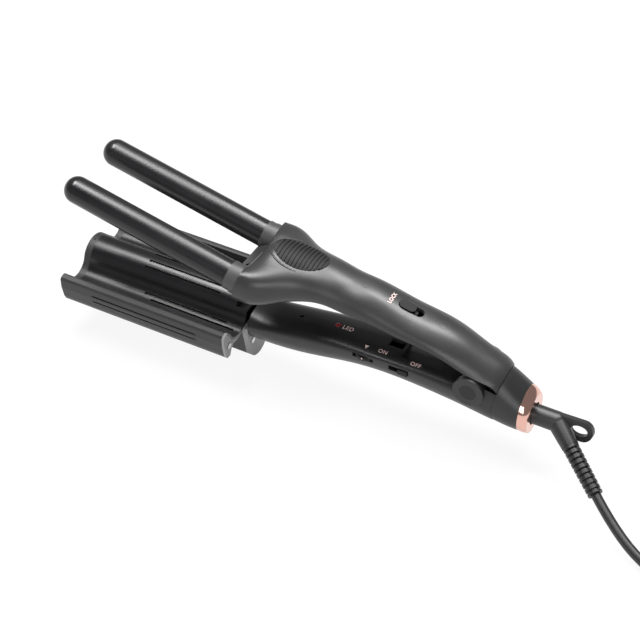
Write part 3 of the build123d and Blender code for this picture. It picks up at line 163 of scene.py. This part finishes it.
@dataclass(frozen=True)
class Finish:
    """A moulded, coated or metal surface with fine grain and a soft change of tone.

    Attributes:
        name: The material's name.
        slot: The record's slot that it stands for.
        colour: Base colour, linear.
        roughness: Mean roughness.
        metallic: Metallic share.
        specular: Specular level.
        coat: Clear coat weight.
        cloud: How fast the tone wanders, in patches per metre.
        grain: Grain size, in grains per metre.
        relief: Grain height, in millimetres.
        mottle: Share by which the tone wanders.
        wear: Share by which the roughness wanders.
    """

    name: str
    slot: Slot
    colour: tuple[float, float, float]
    roughness: float
    metallic: float = 0.0
    specular: float = 0.5
    coat: float = 0.0
    cloud: float = 38.0
    grain: float = 4200.0
    relief: float = 0.003
    mottle: float = 0.12
    wear: float = 0.10

    def build(self) -> bpy.types.Material:
        """Make the material's nodes.

        Returns:
            The finished material.
        """
        material = bpy.data.materials.new(self.name)
        material.use_nodes = True
        nodes = material.node_tree.nodes
        links = material.node_tree.links
        shader = nodes["Principled BSDF"]
        shader.inputs["Metallic"].default_value = self.metallic
        shader.inputs["Specular IOR Level"].default_value = self.specular
        shader.inputs["Coat Weight"].default_value = self.coat
        place = nodes.new("ShaderNodeTexCoord")
        cloud = nodes.new("ShaderNodeTexNoise")
        cloud.inputs["Scale"].default_value = self.cloud
        cloud.inputs["Detail"].default_value = 3.0
        links.new(place.outputs["Object"], cloud.inputs["Vector"])
        tone = nodes.new("ShaderNodeValToRGB")
        low = [channel * (1.0 - self.mottle) for channel in self.colour]
        high = [min(1.0, channel * (1.0 + self.mottle)) for channel in self.colour]
        tone.color_ramp.elements[0].position = NOISE_LOW
        tone.color_ramp.elements[0].color = (*low, 1.0)
        tone.color_ramp.elements[1].position = NOISE_HIGH
        tone.color_ramp.elements[1].color = (*high, 1.0)
        links.new(cloud.outputs["Fac"], tone.inputs["Fac"])
        links.new(tone.outputs["Color"], shader.inputs["Base Color"])
        rough = nodes.new("ShaderNodeMapRange")
        rough.inputs["From Min"].default_value = NOISE_LOW
        rough.inputs["From Max"].default_value = NOISE_HIGH
        rough.inputs["To Min"].default_value = self.roughness * (1.0 - self.wear)
        rough.inputs["To Max"].default_value = min(1.0, self.roughness * (1.0 + self.wear))
        links.new(cloud.outputs["Fac"], rough.inputs["Value"])
        links.new(rough.outputs["Result"], shader.inputs["Roughness"])
        grain = nodes.new("ShaderNodeTexNoise")
        grain.inputs["Scale"].default_value = self.grain
        grain.inputs["Detail"].default_value = 2.0
        links.new(place.outputs["Object"], grain.inputs["Vector"])
        bump = nodes.new("ShaderNodeBump")
        bump.inputs["Strength"].default_value = 0.5
        bump.inputs["Distance"].default_value = self.relief * MM
        links.new(grain.outputs["Fac"], bump.inputs["Height"])
        links.new(bump.outputs["Normal"], shader.inputs["Normal"])
        return material


SATIN_SHELL = Finish("satin_graphite_shell", Slot.SHELL, (0.030, 0.030, 0.031), 0.36, 0.15, 0.5)
# Darker copy of the graphite shell plastic: painted shade on the lower handle, its cover and the
# tail cover.
HANDLE_SHELL_PAINTED_SHADE = Finish("handle_plastic_painted_shade", Slot.SHELL, (0.020, 0.020, 0.021), 0.38, 0.1, 0.45)
# Darkest copy of the graphite shell plastic: painted shade on the hinge discs.
HINGE_DISC_PAINTED_SHADE = Finish("hinge_disc_painted_shade", Slot.SHELL, (0.012, 0.012, 0.013), 0.45, 0.0, 0.3)
CERAMIC_COAT = Finish(
    "dark_ceramic_coat", Slot.COATING, (0.008, 0.008, 0.009), 0.30, 0.0, 0.5, relief=0.0008
)
TIP_BLACK = Finish(
    "barrel_tip_black", Slot.BLACK, (0.010, 0.010, 0.011), 0.24, 0.0, 0.5, relief=0.0008
)
JAW_SHELL = Finish("jaw_housing_plastic", Slot.SHELL, (0.030, 0.030, 0.031), 0.5, 0.0, 0.4)
GREY_CAP = Finish("grey_end_cap", Slot.GREY, (0.24, 0.24, 0.24), 0.55, 0.0, 0.4)
COLLAR_GREY = Finish("grey_collar", Slot.GREY, (0.055, 0.055, 0.055), 0.45, 0.1, 0.4)
BLACK_GLOSS = Finish("black_trim", Slot.BLACK, (0.005, 0.005, 0.006), 0.4, 0.0, 0.25)
GRIP = Finish("ribbed_grip", Slot.GRIP, (0.012, 0.012, 0.013), 0.6, 0.0, 0.25, relief=0.012)
CORD_SKIN = Finish("lead_skin", Slot.CORD, (0.013, 0.013, 0.014), 0.42, 0.0, 0.5, relief=0.003)
STEM_BLACK = Finish("swivel_black", Slot.BLACK, (0.016, 0.016, 0.017), 0.38, 0.0, 0.5)
ROSE_METAL = Finish(
    "rose_gold_ring", Slot.ROSE, (0.78, 0.47, 0.39), 0.10, 1.0, 0.5, relief=0.001, mottle=0.03
)
LENS_RED = Finish("red_lens", Slot.LENS, (0.26, 0.010, 0.016), 0.2, 0.0, 0.5, coat=0.3)
STEEL = Finish("plain_steel", Slot.STEEL, (0.5, 0.5, 0.51), 0.3, 1.0, 0.5, relief=0.002)
ALUMINIUM = Finish("plain_aluminium", Slot.ALUMINIUM, (0.7, 0.7, 0.71), 0.4, 1.0, 0.5)
BOARD = Finish("circuit_board", Slot.BOARD, (0.03, 0.13, 0.06), 0.5)
BRASS = Finish("plain_brass", Slot.BRASS, (0.72, 0.56, 0.28), 0.25, 1.0, 0.5, relief=0.002)
PRINT = Finish("pale_printing", Slot.GREY, (0.80, 0.60, 0.57), 0.5, 0.0, 0.4, mottle=0.04)


@dataclass
class FinishShelf:
    """Keeps one material for each finish."""

    made: dict[str, bpy.types.Material] = field(default_factory=dict)

    def take(self, finish: Finish) -> bpy.types.Material:
        """The material of a finish, made the first time that it is asked for.

        Args:
            finish: The finish.

        Returns:
            Its material.
        """
        if finish.name not in self.made:
            self.made[finish.name] = finish.build()
        return self.made[finish.name]

    def dress(self, piece: bpy.types.Object, finish: Finish) -> None:
        """Put a finish on a piece.

        Args:
            piece: The piece.
            finish: Its finish.
        """
        material = self.take(finish)
        if not piece.data.materials:
            piece.data.materials.append(material)
        for place in piece.material_slots:
            place.material = material

    def dress_node(self, node: str, finish: Finish) -> None:
        """Put a finish on a CAD node."""
        self.dress(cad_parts[node], finish)


def settle(piece: bpy.types.Object, body: Body) -> None:
    """Link a finished piece to its body, and report it.

    Args:
        piece: The finished piece.
        body: The body it rides on.
    """
    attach(piece, body.value)
    log.info("made %s on %s", piece.name, body.value)


@dataclass
class MainsLead:
    """The lead from the strain relief over the floor into its tied coil, and on to the plug."""

    radius: float = 2.75
    start: tuple[float, float, float] = (-172.474, 27.464, 16.198)
    run: tuple[tuple[float, float, float], ...] = (
        (-187.354, 39.405, 10.196),
        (-210.25, 52.3, 4.8),
        (-235.25, 57.0, 3.55),
        (-258.25, 55.31, 3.55),
        (-278.25, 55.31, 3.55),
    )
    tail: tuple[tuple[float, float, float], ...] = (
        (-278.25, -31.31, 9.05),
        (-267.25, -31.31, 9.05),
        (-256.25, -32.31, 6.85),
        (-245.25, -32.31, 6.85),
    )
    centre: tuple[float, float] = (-301.25, 12.0)
    outer: float = 43.3
    inner: float = 22.7
    turns: float = 7.5
    low: float = 3.55
    high: float = 9.05
    points_per_turn: int = 16
    climb_from: float = 0.47
    climb_share: float = 0.06
    length: float = 1.75

    def coil_points(self) -> list[Vector]:
        """Control points of the coil, wound in on the floor and out again on top.

        Returns:
            The points, in millimetres.
        """
        count = int(self.turns * self.points_per_turn)
        swell = 1.0 / math.cos(math.pi / self.points_per_turn) ** 0.5
        points = []
        for number in range(1, count):
            share = number / count
            angle = (0.25 + share * self.turns) * math.tau
            inward = 1.0 - abs(1.0 - 2.0 * share)
            radius = (self.outer + (self.inner - self.outer) * inward) * swell
            climb = min(1.0, max(0.0, (share - self.climb_from) / self.climb_share))
            height = self.low + (self.high - self.low) * climb
            side = self.centre[0] + radius * math.cos(angle)
            points.append(Vector((side, self.centre[1] + radius * math.sin(angle), height)))
        return points

    def build(self, shelf: FinishShelf) -> bpy.types.Object:
        """Make the lead as one smooth line with its round skin.

        Args:
            shelf: The finishes.

        Returns:
            The lead.
        """
        points = [Vector(self.start)] + [Vector(point) for point in self.run]
        points += self.coil_points()
        points += [Vector(point) for point in self.tail]
        line = bpy.data.curves.new("lead", "CURVE")
        line.dimensions = "3D"
        line.bevel_depth = self.radius * MM
        line.bevel_resolution = 4
        line.use_fill_caps = True
        spline = line.splines.new("NURBS")
        spline.points.add(len(points) - 1)
        for spot, point in zip(spline.points, points):
            spot.co = (*(point * MM), 1.0)
        spline.order_u = 3
        spline.use_endpoint_u = True
        spline.resolution_u = 5
        lead = link_new("lead", line)
        shelf.dress(lead, CORD_SKIN)
        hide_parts("mains_lead", "lead_coil", "plug_lead")
        settle(lead, Body.SWIVEL)
        return lead


@dataclass
class Lettering:
    """One printed word or sign laid on a curved CAD surface.

    Attributes:
        name: The piece's name.
        text: What is printed, or nothing for a plain sign such as a triangle that points down.
        node: The CAD node that carries it.
        body: The body it rides on.
        middle: A point above its middle, in millimetres.
        along: The reading direction.
        up: The direction of the letters' tops.
        size: Letter height, or the sign's radius, in millimetres.
        corners: Corners of the sign, many of them for a round dot.
        finish: Its finish.
        spacing: Letter spacing.
    """

    name: str
    text: str
    node: str
    body: Body
    middle: Vector
    along: Vector
    up: Vector
    size: float
    corners: int = 3
    finish: Finish = PRINT
    spacing: float = 1.1

    def flat_mesh(self) -> bpy.types.Mesh:
        """The letters, or a plain sign where there are none, as a flat mesh round the origin.

        Returns:
            The mesh.
        """
        if not self.text:
            mesh = bpy.data.meshes.new(self.name)
            sign = bmesh.new()
            bmesh.ops.create_circle(sign, cap_ends=True, segments=self.corners, radius=self.size)
            bmesh.ops.rotate(sign, verts=sign.verts[:], matrix=Matrix.Rotation(math.pi, 3, "Z"))
            sign.to_mesh(mesh)
            sign.free()
            return mesh
        curve = bpy.data.curves.new(self.name, "FONT")
        curve.body = self.text
        curve.size = self.size
        curve.space_character = self.spacing
        curve.align_x = "CENTER"
        curve.align_y = "CENTER"
        curve.offset = 0.02 * self.size
        holder = link_new(self.name, curve)
        bpy.context.view_layer.update()
        graph = bpy.context.evaluated_depsgraph_get()
        mesh = bpy.data.meshes.new_from_object(holder.evaluated_get(graph))
        bpy.data.objects.remove(holder)
        return mesh

    def build(self, shelf: FinishShelf) -> bpy.types.Object:
        """Lay the letters on the surface.

        Args:
            shelf: The finishes.

        Returns:
            The printed piece.
        """
        mesh = self.flat_mesh()
        tree = node_tree_of(self.node)
        along = self.along.normalized()
        normal = along.cross(self.up).normalized()
        up = normal.cross(along)
        sheet = bmesh.new()
        sheet.from_mesh(mesh)
        bmesh.ops.triangulate(sheet, faces=sheet.faces[:])
        bmesh.ops.subdivide_edges(sheet, edges=sheet.edges[:], cuts=1)
        for corner in sheet.verts:
            over = (self.middle + along * corner.co.x + up * corner.co.y) * MM
            spot = tree.ray_cast(over, -normal)[0]
            corner.co = (spot if spot else over) + normal * PRINT_LIFT * MM
        bmesh.ops.recalc_face_normals(sheet, faces=sheet.faces[:])
        sheet.normal_update()
        if sum(face.normal.dot(normal) for face in sheet.faces) < 0:
            bmesh.ops.reverse_faces(sheet, faces=sheet.faces[:])
        sheet.to_mesh(mesh)
        sheet.free()
        piece = link_new(self.name, mesh)
        shelf.dress(piece, self.finish)
        settle(piece, self.body)
        return piece


@dataclass
class Printing:
    """All the printing on the waver."""

    def words(self) -> list[Lettering]:
        """The words and signs and their places.

        Returns:
            One entry for each.
        """
        back = -FORWARD
        left_up = Vector((0.0, -0.85, 0.5))
        right = Vector((0.0, -1.0, 0.0))
        up = Vector((0.0, 0.0, 1.0))
        arm = ("upper_shell", Body.ARM)
        handle = ("lower_shell", Body.HANDLE)
        wheel = ("temperature_wheel", Body.WHEEL)
        return [
            Lettering("print_lock", "LOCK", *arm, arm_point(60.0, 0.0, 30.0), right, ALONG, 3.1),
            Lettering("print_led", "LED", *handle, jaw_point(-60.2, 9.0, 20.0), back, left_up, 3.8),
            Lettering("print_mark", "", *handle, jaw_point(-76.0, 16.0, 18.0), back, left_up, 1.6),
            Lettering("print_on", "ON", *handle, jaw_point(-86.0, 16.0, 18.0), back, left_up, 3.4),
            Lettering(
                "print_off", "OFF", *handle, jaw_point(-106.5, 17.0, 18.0), back, left_up, 3.4
            ),
            Lettering("wheel_mark", "", *wheel, jaw_point(-76.0, 30.0, 2.0), back, up, 0.55, 4),
            *self.vent_dots(),
        ]

    def vent_dots(self) -> list[Lettering]:
        """The dark dots at the rear ends of the grooves in both side walls of the jaw.

        Returns:
            One entry for each.
        """
        up = Vector((0.0, 0.0, 1.0))
        dots = []
        for side, name in ((1.0, "left"), (-1.0, "right")):
            along = Vector((-side, 0.0, 0.0))
            for number, height in enumerate((-4.5, -8.9)):
                middle = jaw_point(19.6, side * 50.0, height)
                dot = ("jaw_housing", Body.HANDLE, middle, along, up, 1.0, 16, BLACK_GLOSS)
                dots.append(Lettering(f"vent_dot_{name}_{number}", "", *dot))
        return dots

    def build(self, shelf: FinishShelf) -> None:
        """Make every word and sign."""
        for word in self.words():
            word.build(shelf)


@dataclass
class PadRidge:
    """The thin raised rim that curves round the front of the thumb pad.

    Attributes:
        centre: The pad's middle along the arm, in millimetres.
        reach: How far the rim runs from it along the arm.
        half: How far it runs from it sideways.
        radius: The rim's own radius.
        first: Where the arc starts, in degrees from straight ahead.
        last: Where it ends.
        steps: Points along it.
    """

    centre: float = 116.5
    reach: float = 18.2
    half: float = 11.9
    radius: float = 0.55
    first: float = -75.0
    last: float = 100.0
    steps: int = 36

    def build(self, shelf: FinishShelf) -> bpy.types.Object:
        """Lay the rim on the upper shell.

        Args:
            shelf: The finishes.

        Returns:
            The rim.
        """
        tree = node_tree_of("upper_shell")
        line = bpy.data.curves.new("pad_ridge", "CURVE")
        line.dimensions = "3D"
        line.bevel_depth = self.radius * MM
        line.bevel_resolution = 3
        line.use_fill_caps = True
        spline = line.splines.new("POLY")
        spline.points.add(self.steps - 1)
        for number, spot in enumerate(spline.points):
            share = number / (self.steps - 1)
            angle = math.radians(self.first + share * (self.last - self.first))
            reach = self.centre + self.reach * math.cos(angle)
            over = arm_point(reach, self.half * math.sin(angle), 40.0) * MM
            found = tree.ray_cast(over, -ARM_UP)[0]
            spot.co = (*(found if found else over), 1.0)
            spot.radius = min(1.0, 0.3 + 4.0 * min(share, 1.0 - share))
        ridge = link_new("pad_ridge", line)
        shelf.dress(ridge, SATIN_SHELL)
        settle(ridge, Body.ARM)
        return ridge


@dataclass
class NodeFinishes:
    """Which finish each CAD node wears."""

    plan: tuple[tuple[Finish, tuple[str, ...]], ...] = (
        (SATIN_SHELL, ("upper_shell", "upper_cover")),
        (HANDLE_SHELL_PAINTED_SHADE, ("lower_shell", "lower_cover", "tail_cover")),
        (HINGE_DISC_PAINTED_SHADE, ("hinge_caps",)),
        (CERAMIC_COAT, ("wave_plate", "plate_end_cap", "barrel_left", "barrel_right")),
        (TIP_BLACK, ("barrel_tip_left", "barrel_tip_right")),
        (JAW_SHELL, ("jaw_housing", "jaw_front_cap")),
        (GREY_CAP, ("jaw_rear_cap_left", "jaw_rear_cap_right", "keel_cap")),
        (COLLAR_GREY, ("collar_left", "collar_right")),
        (BLACK_GLOSS, ("power_switch_knob", "temperature_wheel")),
        (BLACK_GLOSS, ("lock_button", "latch_hook", "switch_body", "potentiometer")),
        (BLACK_GLOSS, ("jaw_mount_bar", "coil_ties")),
        (STEM_BLACK, ("swivel_stem", "swivel_socket")),
        (CORD_SKIN, ("strain_relief", "plug_body")),
        (GRIP, ("thumb_pad",)),
        (ROSE_METAL, ("tail_ring",)),
        (LENS_RED, ("led_lens",)),
        (STEEL, ("hinge_pin", "hinge_spring", "heater_clamp", "thermal_fuse")),
        (STEEL, ("jaw_screws", "handle_screws", "arm_screws")),
        (ALUMINIUM, ("plate_heater", "heater_rod_left", "heater_rod_right")),
        (BOARD, ("control_board",)),
        (BRASS, ("slip_ring_rear", "slip_ring_front", "plug_pins")),
    )

    def build(self, shelf: FinishShelf) -> None:
        """Dress every CAD node.

        Args:
            shelf: The finishes.
        """
        dressed = set()
        for finish, names in self.plan:
            for name in names:
                shelf.dress_node(name, finish)
                dressed.add(name)
        log.info("dressed %d nodes", len(dressed))


@dataclass
class Studio:
    """Floor, lamps, world and camera."""

    camera_place: tuple[float, float, float] = (-321.27, 635.73, 683.25)
    right: tuple[float, float, float] = (-0.8846922815, -0.4660811602, 0.0093765234)
    down: tuple[float, float, float] = (-0.3173044672, 0.5873126305, -0.7445681629)
    ahead: tuple[float, float, float] = (0.3415222426, -0.6616889195, -0.6674805852)
    lens: float = 95.625
    flag_distance: float = 1.25
    flag_size: tuple[float, float] = (1.8, 0.62)
    floor_white: float = 0.9
    world_strength: float = 0.26

    def build_camera(self) -> None:
        """Place the camera at the picture's angle."""
        data = bpy.data.cameras.new("camera")
        data.lens = self.lens
        data.sensor_width = 36.0
        data.clip_start = 0.01
        camera = link_new("camera", data)
        axes = Matrix((self.right, -Vector(self.down), -Vector(self.ahead))).transposed()
        camera.matrix_world = Matrix.Translation(Vector(self.camera_place) * MM) @ axes.to_4x4()
        bpy.context.scene.camera = camera

    def lamp(
        self,
        name: str,
        place: tuple[float, float, float],
        size: tuple[float, float],
        power: float,
    ) -> None:
        """Add one soft box lamp that faces the waver.

        Args:
            name: Its name.
            place: Its place, in metres.
            size: Its length along the waver and its breadth, in metres.
            power: Its power, in watts.
        """
        data = bpy.data.lights.new(name, "AREA")
        data.shape = "RECTANGLE"
        data.size, data.size_y = size
        data.energy = power
        lamp = link_new(name, data)
        lamp.matrix_world = facing_waver(Vector(place))

    def plain_rays(self, tree: bpy.types.NodeTree) -> bpy.types.NodeSocket:
        """Tell the rays that see the floor straight, in a reflection or through something clear.

        Args:
            tree: The material's node tree.

        Returns:
            A socket that is 1 for such a ray and 0 for any other.
        """
        rays = tree.nodes.new("ShaderNodeLightPath")
        total = rays.outputs["Is Camera Ray"]
        for kind in ("Is Glossy Ray", "Is Transmission Ray"):
            added = tree.nodes.new("ShaderNodeMath")
            added.operation = "ADD"
            added.use_clamp = True
            tree.links.new(total, added.inputs[0])
            tree.links.new(rays.outputs[kind], added.inputs[1])
            total = added.outputs[0]
        return total

    def build_floor(self) -> None:
        """Make the pale floor, near white to the camera and in reflections, with a faint shadow."""
        mesh = bpy.data.meshes.new("floor")
        sheet = bmesh.new()
        bmesh.ops.create_grid(sheet, x_segments=1, y_segments=1, size=6.0)
        sheet.to_mesh(mesh)
        sheet.free()
        floor = link_new("floor", mesh)
        material = bpy.data.materials.new("pale_floor")
        material.use_nodes = True
        nodes = material.node_tree.nodes
        links = material.node_tree.links
        shader = nodes["Principled BSDF"]
        shader.inputs["Base Color"].default_value = (0.8, 0.8, 0.8, 1.0)
        shader.inputs["Roughness"].default_value = 1.0
        shader.inputs["Specular IOR Level"].default_value = 0.0
        glow = nodes.new("ShaderNodeEmission")
        glow.inputs["Color"].default_value = (1.0, 1.0, 1.0, 1.0)
        seen = nodes.new("ShaderNodeMath")
        seen.operation = "MULTIPLY"
        seen.inputs[1].default_value = self.floor_white
        links.new(self.plain_rays(material.node_tree), seen.inputs[0])
        blend = nodes.new("ShaderNodeMixShader")
        links.new(seen.outputs[0], blend.inputs["Fac"])
        links.new(shader.outputs["BSDF"], blend.inputs[1])
        links.new(glow.outputs["Emission"], blend.inputs[2])
        links.new(blend.outputs["Shader"], nodes["Material Output"].inputs["Surface"])
        mesh.materials.append(material)

    def build_flag(self) -> None:
        """Hang a black card on the camera's side, which only reflections see."""
        mesh = bpy.data.meshes.new("flag")
        sheet = bmesh.new()
        bmesh.ops.create_grid(sheet, x_segments=1, y_segments=1, size=0.5)
        place = facing_waver(Vector((0.33, 0.62, 0.80)).normalized() * self.flag_distance)
        shape = Matrix.Diagonal((*self.flag_size, 1.0, 1.0))
        bmesh.ops.transform(sheet, verts=sheet.verts[:], matrix=place @ shape)
        sheet.to_mesh(mesh)
        sheet.free()
        flag = link_new("flag", mesh)
        flag.visible_camera = False
        flag.visible_diffuse = False
        flag.visible_shadow = False
        material = bpy.data.materials.new("black_card")
        material.use_nodes = True
        shader = material.node_tree.nodes["Principled BSDF"]
        shader.inputs["Base Color"].default_value = (0.001, 0.001, 0.001, 1.0)
        shader.inputs["Specular IOR Level"].default_value = 0.0
        mesh.materials.append(material)

    def build_world(self) -> None:
        """Light the scene evenly, and make the world white where the camera sees it."""
        world = bpy.data.worlds.new("studio")
        bpy.context.scene.world = world
        world.use_nodes = True
        nodes = world.node_tree.nodes
        links = world.node_tree.links
        soft = nodes["Background"]
        soft.inputs["Color"].default_value = (1.0, 1.0, 1.0, 1.0)
        soft.inputs["Strength"].default_value = self.world_strength
        white = nodes.new("ShaderNodeBackground")
        white.inputs["Strength"].default_value = 1.0
        blend = nodes.new("ShaderNodeMixShader")
        rays = nodes.new("ShaderNodeLightPath")
        links.new(rays.outputs["Is Camera Ray"], blend.inputs["Fac"])
        links.new(soft.outputs["Background"], blend.inputs[1])
        links.new(white.outputs["Background"], blend.inputs[2])
        links.new(blend.outputs["Shader"], nodes["World Output"].inputs["Surface"])
        bpy.context.scene.view_settings.view_transform = "Standard"

    def build(self) -> None:
        """Make the whole studio except the camera."""
        self.build_floor()
        self.build_world()
        self.lamp("key_front", (0.35, -0.10, 1.10), (0.6, 0.40), 9.0)
        self.lamp("key_rear", (-0.10, -0.40, 1.02), (0.5, 0.34), 11.0)
        self.lamp("key_plate", (0.45, 0.12, 1.10), (0.35, 0.40), 6.0)
        self.lamp("fill", (-0.50, 1.10, 0.60), (1.0, 0.6), 7.0)
        self.build_flag()


def main() -> None:
    """Build the waver's looks in order."""
    logging.basicConfig(level=logging.INFO, format="%(message)s")
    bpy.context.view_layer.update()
    shelf = FinishShelf()
    studio = Studio()
    studio.build_camera()
    MainsLead().build(shelf)
    NodeFinishes().build(shelf)
    Printing().build(shelf)
    PadRidge().build(shelf)
    studio.build()


if __name__ == "__main__":
    main()
